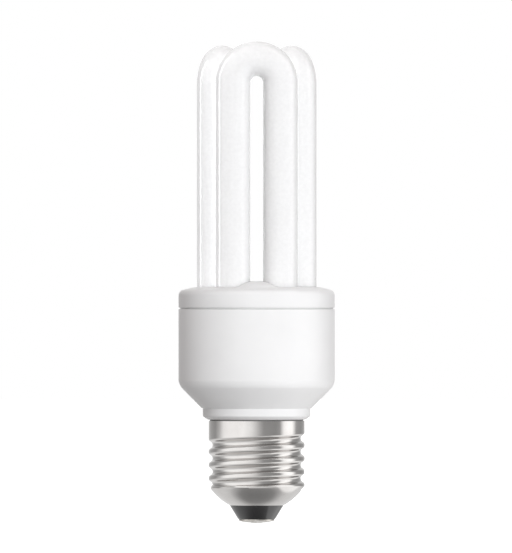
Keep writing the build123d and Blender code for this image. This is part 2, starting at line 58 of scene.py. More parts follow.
def letGo():
    # object mode with nothing selected
    if bpy.context.object and bpy.context.object.mode != "OBJECT":
        bpy.ops.object.mode_set(mode="OBJECT")
    bpy.ops.object.select_all(action="DESELECT")


def takeUp(*pieces):
    # selects only these, with the first one active
    letGo()
    for piece in pieces:
        piece.select_set(True)
    bpy.context.view_layer.objects.active = pieces[0]


def joinUp(pieces):
    takeUp(*pieces)
    bpy.ops.object.join()
    return pieces[0]


def pick(piece, test):
    # in edit mode, select only the points that are, in mm, where the test says
    bpy.ops.mesh.select_mode(type="VERT")
    bpy.ops.mesh.select_all(action="DESELECT")
    shape = bmesh.from_edit_mesh(piece.data)
    for point in shape.verts:
        point.select_set(bool(test(point.co / mm)))
    shape.select_flush_mode()
    bmesh.update_edit_mesh(piece.data)


def turnAbout(angle, centre):
    # counter-clockwise from above; with no window the operator turns the other way
    bpy.ops.transform.rotate(value=-math.radians(angle), orient_axis="Z", center_override=Vector(centre) * mm)


def applyAll(piece):
    takeUp(piece)
    for modifier in list(piece.modifiers):
        bpy.ops.object.modifier_apply(modifier=modifier.name)


def walkOutline(name, points):
    # one vertex is extruded along an outline given as radius and height in mm
    letGo()
    bpy.ops.mesh.primitive_plane_add(size=mm)
    piece = bpy.context.object
    piece.name = piece.data.name = name
    bpy.ops.object.mode_set(mode="EDIT")
    bpy.ops.mesh.merge(type="CENTER")
    bpy.ops.transform.translate(value=(points[0][0] * mm, 0, points[0][1] * mm))
    for (r0, z0), (r1, z1) in zip(points, points[1:]):
        step = ((r1 - r0) * mm, 0, (z1 - z0) * mm)
        bpy.ops.mesh.extrude_vertices_move(TRANSFORM_OT_translate={"value": step})
    return piece


def atPoint(r, z):
    return lambda p: math.hypot(p.x - r, p.z - z) < near


def atEither(first, second):
    return lambda p: atPoint(*first)(p) or atPoint(*second)(p)


def closeOutline(piece, points):
    pick(piece, atEither(points[0], points[-1]))
    bpy.ops.mesh.edge_face_add()


def roundCorner(piece, corner, size, segments):
    # size is how far from the corner the curve starts
    pick(piece, atPoint(*corner))
    bpy.ops.mesh.bevel(offset=size * mm, segments=segments, affect="VERTICES")


def mergeAndFaceOut():
    bpy.ops.mesh.select_all(action="SELECT")
    bpy.ops.mesh.remove_doubles(threshold=mergeReach * mm)
    bpy.ops.mesh.normals_make_consistent(inside=False)
    bpy.ops.object.mode_set(mode="OBJECT")


def turnRound(steps):
    bpy.ops.mesh.select_all(action="SELECT")
    bpy.ops.mesh.spin(steps=steps, angle=2 * math.pi, center=(0, 0, 0), axis=(0, 0, 1))
    mergeAndFaceOut()


def putOnLamp(piece, node, material, smoothAngle):
    takeUp(piece)
    bpy.ops.object.shade_smooth_by_angle(angle=math.radians(smoothAngle))
    piece.data.materials.clear()
    piece.data.materials.append(material)
    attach(piece, "root")
    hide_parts(node)
    print(piece.name, "made,", len(piece.data.polygons), "faces")


# colours are written as sRGB hex
def colour(code):
    parts = [int(code[i:i + 2], 16) / 255 for i in (1, 3, 5)]
    return [c / 12.92 if c <= 0.04045 else ((c + 0.055) / 1.055) ** 2.4 for c in parts] + [1]


def grey(value):
    return (value, value, value, 1)


def spread(first, last, start=0.3):
    # ramp stops over the middle of a noise, which hardly reaches its ends
    return [(start, first), (1 - start, last)]


def setStops(elements, stops):
    elements[0].position, elements[0].color = stops[0]
    elements[1].position, elements[1].color = stops[-1]
    for place, value in stops[1:-1]:
        elements.new(place).color = value


def addNode(tree, kind, settings=None, links=None):
    node = tree.nodes.new(kind)
    for key, value in (settings or {}).items():
        if key == "stops":
            setStops(node.color_ramp.elements, value)
        elif isinstance(key, int) or key in node.inputs:
            node.inputs[key].default_value = value
        else:
            setattr(node, key, value)
    for key, source in (links or {}).items():
        tree.links.new(source, node.inputs[key])
    return node


def newMaterial(name):
    material = bpy.data.materials.new(name)
    material.use_nodes = True
    material.node_tree.nodes.clear()
    return material, material.node_tree


def finishMaterial(tree, shader):
    addNode(tree, "ShaderNodeOutputMaterial", links={"Surface": shader.outputs[0]})


# Moulded PBT, satin: an even white with a fine moulded grain, a soft sheen, and painted shade in its two
# joints
plasticLook = {
    "light": "#F1F1F1", "dark": "#ECECEC", "cloud": 14.0, "roughLow": 0.34, "roughHigh": 0.42, "ior": 1.55,
    "grain": 0.35, "bump": 0.06, "deep": 0.02, "paintedJointShade": "#5A5856",
    # the dark tone in these joints is painted shade, standing in for the shadow in the shallow gaps
    "joints": [
        {"inner": 12.9, "outer": 13.3, "foot": 26.0, "top": 29.0, "amount": 0.9},  # behind the cap rim
        {"inner": 20.9, "outer": 21.2, "foot": 58.0, "top": 59.0, "amount": 0.18},  # under the collar
    ],
}


def paintShadeInJoints(tree, place, tone):
    # painted shade: a joint is a band of height, darker towards its inner radius, where a deeper gap would
    # lie in shadow
    split = addNode(tree, "ShaderNodeSeparateXYZ", links={0: place.outputs["Object"]})
    flat = addNode(tree, "ShaderNodeVectorMath", {"operation": "MULTIPLY", 1: (1, 1, 0)},
                   {0: place.outputs["Object"]})
    reach = addNode(tree, "ShaderNodeVectorMath", {"operation": "LENGTH"}, {0: flat.outputs[0]})
    for joint in plasticLook["joints"]:
        middle = (joint["foot"] + joint["top"]) / 2
        half = (joint["top"] - joint["foot"]) / 2
        inside = addNode(tree, "ShaderNodeMapRange",
                         {"From Min": joint["outer"] * mm, "From Max": joint["inner"] * mm,
                          "To Max": joint["amount"]},
                         {"Value": reach.outputs["Value"]})
        level = addNode(tree, "ShaderNodeMath", {"operation": "COMPARE", 1: middle * mm, 2: half * mm},
                        {0: split.outputs["Z"]})
        shadeAmount = addNode(tree, "ShaderNodeMath", {"operation": "MULTIPLY"},
                        {0: inside.outputs[0], 1: level.outputs[0]})
        tone = addNode(tree, "ShaderNodeMixRGB", {"Color2": colour(plasticLook["paintedJointShade"])},
                       {"Fac": shadeAmount.outputs[0], "Color1": tone.outputs[0]})
    return tone


def mouldedPbt():
    look = plasticLook
    material, tree = newMaterial("Moulded PBT, satin white")
    place = addNode(tree, "ShaderNodeTexCoord")
    cloud = addNode(tree, "ShaderNodeTexNoise", {"Scale": 1 / (look["cloud"] * mm), "Detail": 3.0},
                    {"Vector": place.outputs["Object"]})
    tone = addNode(tree, "ShaderNodeValToRGB", {"stops": spread(colour(look["dark"]), colour(look["light"]))},
                   {"Fac": cloud.outputs["Fac"]})
    sheen = addNode(tree, "ShaderNodeValToRGB",
                    {"stops": spread(grey(look["roughLow"]), grey(look["roughHigh"]))},
                    {"Fac": cloud.outputs["Fac"]})
    grain = addNode(tree, "ShaderNodeTexNoise", {"Scale": 1 / (look["grain"] * mm), "Detail": 2.0},
                    {"Vector": place.outputs["Object"]})
    bump = addNode(tree, "ShaderNodeBump", {"Strength": look["bump"], "Distance": look["deep"] * mm},
                   {"Height": grain.outputs["Fac"]})
    # painted shade in the two joints
    tone = paintShadeInJoints(tree, place, tone)
    shader = addNode(tree, "ShaderNodeBsdfPrincipled", {"IOR": look["ior"]},
                     {"Base Color": tone.outputs[0], "Roughness": sheen.outputs[0],
                      "Normal": bump.outputs[0]})
    finishMaterial(tree, shader)
    return material


# Soda-lime tube glass over phosphor powder: chalk white, soaked with light, under a clear bright skin
glassLook = {"light": "#F2F2F2", "dark": "#EEEEEE", "powder": 0.9, "powderStart": 0.35, "rough": 0.5,
             "skinRough": 0.03, "ior": 1.5,
             "soak": 0.5, "depth": 4.0}  # light spreads in the powder by about this many mm


def phosphorGlass():
    look = glassLook
    material, tree = newMaterial("Phosphor-coated glass")
    place = addNode(tree, "ShaderNodeTexCoord")
    powder = addNode(tree, "ShaderNodeTexNoise", {"Scale": 1 / (look["powder"] * mm), "Detail": 4.0},
                     {"Vector": place.outputs["Object"]})
    stops = spread(colour(look["dark"]), colour(look["light"]), look["powderStart"])
    tone = addNode(tree, "ShaderNodeValToRGB", {"stops": stops}, {"Fac": powder.outputs["Fac"]})
    shader = addNode(tree, "ShaderNodeBsdfPrincipled",
                     {"IOR": look["ior"], "Roughness": look["rough"], "Specular IOR Level": 0.0,
                      "Subsurface Weight": look["soak"], "Subsurface Radius": (1, 1, 1),
                      "Subsurface Scale": look["depth"] * mm,
                      "Coat Weight": 1.0, "Coat Roughness": look["skinRough"], "Coat IOR": look["ior"]},
                     {"Base Color": tone.outputs[0]})
    finishMaterial(tree, shader)
    return material


# Nickel-plated brass sheet, deep drawn and rolled: bright, with faint lines round the cap
nickelLook = {"light": "#CCCAC8", "dark": "#C1BEBC", "stain": 6.0, "roughLow": 0.09, "roughHigh": 0.15,
              "line": 0.25, "lineStretch": 0.03, "bump": 0.05, "deep": 0.02}


def nickelPlate():
    look = nickelLook
    material, tree = newMaterial("Nickel-plated brass sheet")
    place = addNode(tree, "ShaderNodeTexCoord")
    stain = addNode(tree, "ShaderNodeTexNoise", {"Scale": 1 / (look["stain"] * mm), "Detail": 4.0},
                    {"Vector": place.outputs["Object"]})
    tone = addNode(tree, "ShaderNodeValToRGB", {"stops": spread(colour(look["dark"]), colour(look["light"]))},
                   {"Fac": stain.outputs["Fac"]})
    wear = addNode(tree, "ShaderNodeValToRGB",
                   {"stops": spread(grey(look["roughLow"]), grey(look["roughHigh"]))},
                   {"Fac": stain.outputs["Fac"]})
    drawn = addNode(tree, "ShaderNodeMapping", {"Scale": (look["lineStretch"], look["lineStretch"], 1.0)},
                    {"Vector": place.outputs["Object"]})  # stretched round the cap
    lines = addNode(tree, "ShaderNodeTexNoise", {"Scale": 1 / (look["line"] * mm), "Detail": 2.0},
                    {"Vector": drawn.outputs[0]})
    bump = addNode(tree, "ShaderNodeBump", {"Strength": look["bump"], "Distance": look["deep"] * mm},
                   {"Height": lines.outputs["Fac"]})
    shader = addNode(tree, "ShaderNodeBsdfPrincipled", {"Metallic": 1.0},
                     {"Base Color": tone.outputs[0], "Roughness": wear.outputs[0], "Normal": bump.outputs[0]})
    finishMaterial(tree, shader)
    return material


# Black lead glass poured into the cap: glossy, with slow ripples from the pour
blackGlassLook = {"light": "#151415", "dark": "#0E0D0E", "ripple": 2.5, "bump": 0.1, "deep": 0.05,
                  "rough": 0.12, "ior": 1.7}


def blackGlass():
    look = blackGlassLook
    material, tree = newMaterial("Black cap glass")
    place = addNode(tree, "ShaderNodeTexCoord")
    ripple = addNode(tree, "ShaderNodeTexNoise", {"Scale": 1 / (look["ripple"] * mm), "Detail": 2.0},
                     {"Vector": place.outputs["Object"]})
    tone = addNode(tree, "ShaderNodeValToRGB", {"stops": spread(colour(look["dark"]), colour(look["light"]))},
                   {"Fac": ripple.outputs["Fac"]})
    bump = addNode(tree, "ShaderNodeBump", {"Strength": look["bump"], "Distance": look["deep"] * mm},
                   {"Height": ripple.outputs["Fac"]})
    shader = addNode(tree, "ShaderNodeBsdfPrincipled", {"IOR": look["ior"], "Roughness": look["rough"]},
                     {"Base Color": tone.outputs[0], "Normal": bump.outputs[0]})
    finishMaterial(tree, shader)
    return material


# Tinned brass contact: soft grey metal, dulled in patches by the solder
contactLook = {"light": "#CFCCC7", "dark": "#B3AFA9", "patch": 1.4, "bump": 0.15, "deep": 0.03,
               "roughLow": 0.22, "roughHigh": 0.4}


def tinnedBrass():
    look = contactLook
    material, tree = newMaterial("Tinned brass contact")
    place = addNode(tree, "ShaderNodeTexCoord")
    patch = addNode(tree, "ShaderNodeTexNoise", {"Scale": 1 / (look["patch"] * mm), "Detail": 4.0},
                    {"Vector": place.outputs["Object"]})
    tone = addNode(tree, "ShaderNodeValToRGB", {"stops": spread(colour(look["dark"]), colour(look["light"]))},
                   {"Fac": patch.outputs["Fac"]})
    wear = addNode(tree, "ShaderNodeValToRGB",
                   {"stops": spread(grey(look["roughHigh"]), grey(look["roughLow"]))},
                   {"Fac": patch.outputs["Fac"]})
    bump = addNode(tree, "ShaderNodeBump", {"Strength": look["bump"], "Distance": look["deep"] * mm},
                   {"Height": patch.outputs["Fac"]})
    shader = addNode(tree, "ShaderNodeBsdfPrincipled", {"Metallic": 1.0},
                     {"Base Color": tone.outputs[0], "Roughness": wear.outputs[0], "Normal": bump.outputs[0]})
    finishMaterial(tree, shader)
    return material


# Discharge tube: one leg with its half of the bend, mirrored, and copied round the lamp
tubeMake = {"radius": 4.7, "spacing": 12.9, "offset": 9.7, "top": 131.06, "foot": 61.3,
            "rearDrop": 0.9, "rearOffset": 10.85, "rearTurn": 10.0,
            "thirdTurn": 120, "sides": 48, "footRings": 16, "bendSteps": 20}


def frontBend():
    t = tubeMake
    half = t["spacing"] / 2
    bend = t["top"] - t["radius"] - half
    letGo()
    bpy.ops.mesh.primitive_uv_sphere_add(segments=t["sides"], ring_count=t["footRings"],
                                         radius=t["radius"] * mm,
                                         location=(-half * mm, -t["offset"] * mm, t["foot"] * mm))
    tube = bpy.context.object
    tube.name = tube.data.name = "dischargeTube"
    bpy.ops.object.transform_apply(location=True)
    bpy.ops.object.mode_set(mode="EDIT")
    pick(tube, lambda p: p.z > t["foot"] + near)  # the lower half of the ball stays as the domed foot
    bpy.ops.mesh.delete(type="VERT")
    pick(tube, lambda p: abs(p.z - t["foot"]) < near)
    bpy.ops.mesh.extrude_region_move(TRANSFORM_OT_translate={"value": (0, 0, (bend - t["foot"]) * mm)})
    bpy.ops.mesh.spin(steps=t["bendSteps"], angle=-math.pi / 2,
                      center=(0, -t["offset"] * mm, bend * mm), axis=(0, 1, 0))
    bpy.ops.object.mode_set(mode="OBJECT")
    other = tube.modifiers.new("otherLeg", "MIRROR")
    other.merge_threshold = near * mm
    applyAll(tube)
    bpy.ops.object.mode_set(mode="EDIT")
    mergeAndFaceOut()
    return tube, bend


def dischargeTube():
    t = tubeMake
    tube, bend = frontBend()
    bends = [tube]
    for side in (-1, 1):
        takeUp(tube)
        bpy.ops.object.duplicate()
        rear = bpy.context.object
        bpy.ops.object.mode_set(mode="EDIT")
        pick(rear, lambda p: p.z > bend - near)  # the two rear bends end lower
        bpy.ops.transform.translate(value=(0, 0, -t["rearDrop"] * mm))
        bpy.ops.mesh.select_all(action="SELECT")
        turnAbout(-side * t["rearTurn"], (0, -t["offset"], 0))  # inner legs go behind the front ones
        bpy.ops.transform.translate(value=(0, (t["offset"] - t["rearOffset"]) * mm, 0))
        turnAbout(side * t["thirdTurn"], (0, 0, 0))
        bpy.ops.object.mode_set(mode="OBJECT")
        bends.append(rear)
    return joinUp(bends)


# Ballast housing: its section walked in order from the seam, down outside, and back up inside
housingMake = {"radius": 21.29, "seam": 58.3, "seamEdge": 0.22, "coneTop": 37.7, "coneCorner": 1.45,
               "coneFoot": 15.0, "ring": 14.7, "ringTop": 31.3, "ringRound": 0.12, "ringEdge": 0.3,
               "chamfer": 0.9, "ringFoot": 13.35, "footEdge": 0.2, "capRim": 28.2,
               "neckBand": 12.75, "bandDepth": 2.0, "bandStep": 0.8,
               "neck": 11.6, "neckBore": 10.1, "neckFoot": 10.9, "neckBoreTop": 28.9,
               "bore": 19.5, "boreFoot": 38.45, "lapBore": 20.4, "lapFoot": 51.7, "steps": 160}


def ballastHousing():
    h = housingMake
    bandFoot = h["capRim"] - h["bandDepth"]
    ringEdge = (h["ring"], h["capRim"] + h["chamfer"])
    points = [(h["lapBore"], h["lapFoot"]), (h["lapBore"], h["seam"]), (h["radius"], h["seam"]),
              (h["radius"], h["coneTop"]), (h["coneFoot"], h["ringTop"]), (h["ring"], h["ringTop"]), ringEdge,
              (h["ringFoot"], h["capRim"]), (h["neckBand"], h["capRim"]), (h["neckBand"], bandFoot),
              (h["neck"], bandFoot - h["bandStep"]), (h["neck"], h["neckFoot"]),
              (h["neckBore"], h["neckFoot"]), (h["neckBore"], h["neckBoreTop"]),
              (h["bore"], h["boreFoot"]), (h["bore"], h["lapFoot"])]
    housing = walkOutline("ballastHousing", points)
    closeOutline(housing, points)
    roundCorner(housing, (h["radius"], h["coneTop"]), h["coneCorner"], segments=10)
    roundCorner(housing, (h["radius"], h["seam"]), h["seamEdge"], segments=4)
    roundCorner(housing, (h["ring"], h["ringTop"]), h["ringRound"], segments=3)
    roundCorner(housing, (h["coneFoot"], h["ringTop"]), h["ringRound"], segments=3)
    roundCorner(housing, ringEdge, h["ringEdge"], segments=4)
    roundCorner(housing, (h["ringFoot"], h["capRim"]), h["footEdge"], segments=3)
    turnRound(h["steps"])
    return housing


# Collar: a turned lid, draped over three web forms, then bored for the legs
collarMake = {"radius": 21.29, "land": 64.4, "crownRadius": 16.6, "crownDrop": 1.1, "crownCurve": 1.62,
              "corner": 1.27, "skirt": 58.65, "skirtEdge": 0.22, "groove": 20.85, "seat": 58.35, "lip": 20.35,
              "lipFoot": 53.3, "bore": 19.5, "under": 62.6, "landRings": 52, "slopeRings": 6, "slopeStart": 1,
              "holeRadius": 4.95, "holeDepth": 12, "holeSides": 72, "steps": 180}
webMake = {"height": 1.5, "halfWidth": 5.5, "reach": 12.5, "overlap": 0.3, "turns": (-90, 30, 150),
           "sides": 256, "endSegments": 192, "endRings": 128,
           "lift": 4, "edge": 0.1, "softFactor": 0.5, "softPasses": 3}  # how the land is draped over them


def webForms(lid):
    # what the land is draped over: the plain lid with three round ridges that meet on the axis
    w = webMake
    radius = (w["halfWidth"] ** 2 + w["height"] ** 2) / (2 * w["height"])
    low = Vector((0, 0, collarMake["land"] + w["height"] - radius))
    takeUp(lid)
    bpy.ops.object.duplicate()
    forms = [bpy.context.object]
    for turn in w["turns"]:
        way = Vector((math.cos(math.radians(turn)), math.sin(math.radians(turn)), 0))
        middle = way * (w["reach"] - w["overlap"]) / 2 + low
        bpy.ops.mesh.primitive_cylinder_add(vertices=w["sides"], radius=radius * mm,
                                            depth=(w["reach"] + w["overlap"]) * mm, location=middle * mm,
                                            rotation=(0, math.pi / 2, math.radians(turn)))
        forms.append(bpy.context.object)
        bpy.ops.mesh.primitive_uv_sphere_add(segments=w["endSegments"], ring_count=w["endRings"],
                                             radius=radius * mm, location=(way * w["reach"] + low) * mm)
        forms.append(bpy.context.object)
    return joinUp(forms)


def drapeLand(collar, onLand):
    # the land is lifted clear and dropped straight down on to the forms
    forms = webForms(collar)
    takeUp(collar)
    bpy.ops.object.mode_set(mode="EDIT")
    pick(collar, onLand)
    bpy.ops.object.vertex_group_add()
    bpy.ops.object.vertex_group_assign()
    land = collar.vertex_groups.active.name
    bpy.ops.transform.translate(value=(0, 0, webMake["lift"] * mm))
    bpy.ops.object.mode_set(mode="OBJECT")
    drape = collar.modifiers.new("drape", "SHRINKWRAP")
    drape.wrap_method = "PROJECT"
    drape.use_project_z = True
    drape.use_positive_direction = False
    drape.use_negative_direction = True
    drape.target = forms
    drape.vertex_group = land
    soften = collar.modifiers.new("soften", "SMOOTH")
    soften.factor = webMake["softFactor"]
    soften.iterations = webMake["softPasses"]
    soften.vertex_group = land
    applyAll(collar)
    bpy.data.objects.remove(forms)


def boreForLegs(collar):
    c, t = collarMake, tubeMake
    letGo()
    cutters = []
    for turn, offset, twist in ((0, t["offset"], 0), (t["thirdTurn"], t["rearOffset"], -t["rearTurn"]),
                                (2 * t["thirdTurn"], t["rearOffset"], t["rearTurn"])):
        middle = Vector((0, -offset, 0))
        middle.rotate(Euler((0, 0, math.radians(turn))))
        for side in (-1, 1):
            spot = Vector((side * t["spacing"] / 2, 0, c["land"]))
            spot.rotate(Euler((0, 0, math.radians(turn + twist))))
            bpy.ops.mesh.primitive_cylinder_add(vertices=c["holeSides"], radius=c["holeRadius"] * mm,
                                                depth=c["holeDepth"] * mm, location=(middle + spot) * mm)
            cutters.append(bpy.context.object)
    legs = joinUp(cutters)
    bpy.ops.object.transform_apply(location=True, rotation=True, scale=True)
    bore = collar.modifiers.new("legHoles", "BOOLEAN")
    bore.operation = "DIFFERENCE"
    bore.solver = "EXACT"
    bore.object = legs
    applyAll(collar)
    bpy.data.objects.remove(legs)


def lampCollar():
    c = collarMake
    edge = c["land"] - c["crownDrop"]
    points = [(0, c["land"]), (c["crownRadius"], c["land"]), (c["radius"], edge), (c["radius"], c["skirt"]),
              (c["groove"], c["skirt"]), (c["groove"], c["seat"]), (c["lip"], c["seat"]),
              (c["lip"], c["lipFoot"]), (c["bore"], c["lipFoot"]), (c["bore"], c["under"]), (0, c["under"])]
    collar = walkOutline("lampCollar", points)
    roundCorner(collar, (c["radius"], edge), c["corner"], segments=8)
    roundCorner(collar, (c["radius"], c["skirt"]), c["skirtEdge"], segments=4)
    roundCorner(collar, (c["crownRadius"], c["land"]), c["crownCurve"], segments=8)
    flat = c["crownRadius"] - c["crownCurve"]
    pick(collar, atEither((0, c["land"]), (flat, c["land"])))
    bpy.ops.mesh.subdivide(number_cuts=c["landRings"])
    slope = math.hypot(c["radius"] - c["crownRadius"], c["crownDrop"])
    rim = c["radius"] - c["corner"] * (c["radius"] - c["crownRadius"]) / slope
    pick(collar, lambda p: c["crownRadius"] + c["slopeStart"] < p.x < rim + near and p.z > edge)
    bpy.ops.mesh.subdivide(number_cuts=c["slopeRings"])
    turnRound(c["steps"])
    drapeLand(collar, lambda p: p.z > edge + webMake["edge"] and math.hypot(p.x, p.y) < rim - webMake["edge"])
    boreForLegs(collar)
    return collar


# Screw shell: the drawn cup, with the thread pressed in by a weighted displacement
shellMake = {"radius": 13.1, "rim": 27.85, "sheet": 0.3, "hole": 7.4, "bowlRadius": 15.6, "bowlCentre": 18.57,
             "pitch": 25.4 / 7, "depth": 1.1, "crestFlat": 0.05, "turns": 4.743, "runout": 0.3, "start": 157,
             "threadFoot": 6.5, "rows": 140, "bowlSteps": 24, "steps": 180}


def waveRadius(rise):
    # radius of the rolled wave at a height from the middle of a groove: two arcs that run into each other
    s = shellMake
    arc = (s["depth"] ** 2 + (s["pitch"] / 2) ** 2) / (4 * s["depth"])
    root = s["radius"] + s["crestFlat"] - s["depth"]
    rise = abs(rise)
    if rise < s["pitch"] / 4:
        return root + arc - math.sqrt(arc ** 2 - rise ** 2)
    return root + s["depth"] - arc + math.sqrt(arc ** 2 - (s["pitch"] / 2 - rise) ** 2)


def threadRadius(angle, height):
    # the groove climbs to the right, then runs out of the sheet at its top end
    s = shellMake
    inner = math.inf
    first = ((angle - s["start"]) % 360) / 360
    for turn in range(math.ceil(s["turns"] + s["runout"])):
        along = first + turn
        rise = height - s["threadFoot"] - along * s["pitch"]
        if along < s["turns"] + s["runout"] and abs(rise) < s["pitch"] / 2:
            lift = max(0, along - s["turns"]) / s["runout"] * (s["depth"] + s["crestFlat"])
            inner = min(inner, waveRadius(rise) + lift)
    return inner


def screwShell():
    s = shellMake
    bowlTop = s["bowlCentre"] - math.sqrt(s["bowlRadius"] ** 2 - s["radius"] ** 2)
    sweep = math.acos(s["hole"] / s["bowlRadius"]) - math.acos(s["radius"] / s["bowlRadius"])
    shell = walkOutline("screwShell", [(s["radius"], s["rim"]), (s["radius"], bowlTop)])
    bpy.ops.mesh.spin(steps=s["bowlSteps"], angle=-sweep, center=(0, 0, s["bowlCentre"] * mm), axis=(0, 1, 0))
    pick(shell, lambda p: p.z > bowlTop - near)
    bpy.ops.mesh.subdivide(number_cuts=s["rows"])
    turnRound(s["steps"])

    press = shell.vertex_groups.new(name="threadPress")
    for vertex in shell.data.vertices:
        p = vertex.co / mm
        reach = math.hypot(p.x, p.y)
        need = (reach - threadRadius(math.degrees(math.atan2(p.y, p.x)), p.z)) / s["depth"]
        if need > 0:
            press.add([vertex.index], min(1, need), "REPLACE")
    roll = shell.modifiers.new("roll", "DISPLACE")
    roll.vertex_group = press.name
    roll.mid_level = 0
    roll.strength = -s["depth"] * mm
    wall = shell.modifiers.new("sheet", "SOLIDIFY")
    wall.thickness = s["sheet"] * mm
    wall.offset = -1
    applyAll(shell)
    return shell


# Insulator: the black glass cone between the shell and the contact, and its dish inside the shell
insulatorMake = {"foot": 5.0, "footHeight": 1.0, "footEdge": 0.3, "top": 7.35, "topHeight": 4.84,
                 "shoulder": 5.2, "dish": 9.6, "dishHeight": 6.7, "bore": 1.25, "steps": 128}


def capInsulator():
    i = insulatorMake
    points = [(i["bore"], i["footHeight"]), (i["foot"], i["footHeight"]), (i["top"], i["topHeight"]),
              (i["top"], i["shoulder"]), (i["dish"], i["dishHeight"]), (i["bore"], i["dishHeight"])]
    insulator = walkOutline("capInsulator", points)
    closeOutline(insulator, points)
    roundCorner(insulator, (i["foot"], i["footHeight"]), i["footEdge"], segments=5)
    turnRound(i["steps"])
    return insulator


# Centre contact: a pressed dome with a soldered eye, on its stem
contactMake = {"radius": 4.85, "height": 1.0, "rim": 0.35, "rimEdge": 0.12, "dome": 3.6, "domeHeight": 0.28,
               "domeCurve": 0.5, "eye": 1.3, "eyeCurve": 0.2, "eyeFoot": 1.75, "eyeHeight": 0.14,
               "stem": 1.2, "stemTop": 5.6, "steps": 96}


def centreContact():
    c = contactMake
    rim = (c["radius"], c["height"] - c["rim"])
    dome = (c["dome"], c["domeHeight"])
    eye = (c["eye"], 0)
    points = [(0, 0), eye, (c["eyeFoot"], c["eyeHeight"]), dome, rim, (c["radius"], c["height"]),
              (c["stem"], c["height"]), (c["stem"], c["stemTop"]), (0, c["stemTop"])]
    contact = walkOutline("centreContact", points)
    roundCorner(contact, dome, c["domeCurve"], segments=5)
    roundCorner(contact, eye, c["eyeCurve"], segments=4)
    roundCorner(contact, rim, c["rimEdge"], segments=3)
    turnRound(c["steps"])
    return contact


whitePlastic = mouldedPbt()
putOnLamp(dischargeTube(), "discharge_tube", phosphorGlass(), smoothAngle=60)
putOnLamp(ballastHousing(), "housing", whitePlastic, smoothAngle=25)
putOnLamp(lampCollar(), "collar", whitePlastic, smoothAngle=35)
putOnLamp(screwShell(), "screw_shell", nickelPlate(), smoothAngle=45)
putOnLamp(capInsulator(), "cap_insulator", blackGlass(), smoothAngle=30)
putOnLamp(centreContact(), "centre_contact", tinnedBrass(), smoothAngle=30)


# Inside the housing: each carried-over CAD node gets the finish of its own material
innerFinishes = {
    "Silicone sealant": {"light": "#E6E5DF", "dark": "#D4D2C8", "rough": 0.55, "metal": 0.0, "size": 1.5,
                         "nodes": ["tube_cement"]},
    "Phenolic paper laminate": {"light": "#C79A5E", "dark": "#AF8248", "rough": 0.5, "metal": 0.0,
                                "size": 0.8, "nodes": ["circuit_board"]},
    "Tinned copper wire": {"light": "#D6D5D2", "dark": "#B9B7B2", "rough": 0.3, "metal": 1.0, "size": 0.5,
                           "nodes": ["tube_leads", "shell_wire"]},
    "Shrunk can sleeve": {"light": "#23262C", "dark": "#15171B", "rough": 0.3, "metal": 0.0, "size": 3.0,
                          "nodes": ["storage_capacitor"]},
    "Sintered ferrite": {"light": "#3C3B3D", "dark": "#2A292B", "rough": 0.7, "metal": 0.0, "size": 0.4,
                         "nodes": ["choke_core_1", "choke_core_2", "drive_core", "filter_core"]},
    "Moulded bobbin nylon": {"light": "#2E2E30", "dark": "#222224", "rough": 0.5, "metal": 0.0, "size": 1.0,
                             "nodes": ["choke_bobbin"]},
    "Enamelled copper wire": {"light": "#C4753D", "dark": "#8E4A22", "rough": 0.28, "metal": 1.0, "size": 0.3,
                              "nodes": ["choke_winding", "drive_windings", "filter_winding"]},
    "Epoxy moulding compound": {"light": "#2A2A2A", "dark": "#1D1D1D", "rough": 0.6, "metal": 0.0,
                                "size": 0.3, "nodes": ["power_transistor_1", "power_transistor_2",
                                                       "rectifier_diode_1", "rectifier_diode_2",
                                                       "rectifier_diode_3", "rectifier_diode_4"]},
    "Dipped film coating": {"light": "#A8402B", "dark": "#8B2F1E", "rough": 0.3, "metal": 0.0, "size": 2.0,
                            "nodes": ["resonant_capacitor", "blocking_capacitor", "start_capacitor"]},
    "Diode glass": {"light": "#5D6CA8", "dark": "#45528A", "rough": 0.15, "metal": 0.0, "size": 1.0,
                    "nodes": ["trigger_diode"]},
    "Resistor lacquer": {"light": "#D9C08F", "dark": "#C5A972", "rough": 0.4, "metal": 0.0, "size": 0.8,
                         "nodes": ["resistor_1", "resistor_2", "resistor_3", "resistor_4",
                                   "fusible_resistor"]},
}
innerBump = {"strength": 0.2, "deep": 0.03}


def innerFinish(name, look):
    # two tones in flecks of the material's own size, which also give the bump
    material, tree = newMaterial(name)
    place = addNode(tree, "ShaderNodeTexCoord")
    fleck = addNode(tree, "ShaderNodeTexNoise", {"Scale": 1 / (look["size"] * mm), "Detail": 4.0},
                    {"Vector": place.outputs["Object"]})
    tone = addNode(tree, "ShaderNodeValToRGB", {"stops": spread(colour(look["dark"]), colour(look["light"]))},
                   {"Fac": fleck.outputs["Fac"]})
    bump = addNode(tree, "ShaderNodeBump",
                   {"Strength": innerBump["strength"], "Distance": innerBump["deep"] * mm},
                   {"Height": fleck.outputs["Fac"]})
    shader = addNode(tree, "ShaderNodeBsdfPrincipled",
                     {"Metallic": look["metal"], "Roughness": look["rough"]},
                     {"Base Color": tone.outputs[0], "Normal": bump.outputs[0]})
    finishMaterial(tree, shader)
    return material


for name, look in innerFinishes.items():
    material = innerFinish(name, look)
    for node in look["nodes"]:
        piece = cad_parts[node]
        piece.data.materials.clear()
        piece.data.materials.append(material)
print("inner finishes given to", sum(len(look["nodes"]) for look in innerFinishes.values()), "nodes")


# Floor: pale, white to the camera, and darker on the left than on the right, which shades the cone
floorMake = {"size": 8.0, "lift": 0.9, "reach": 180,
             "tones": [(-160, "#BCBCBC"), (-80, "#8C8C8C"), (-20, "#989898"), (30, "#F0F0F0"),
                       (70, "#F0F0F0"), (120, "#B6B6B6")]}  # mm to the right of the lamp, colour


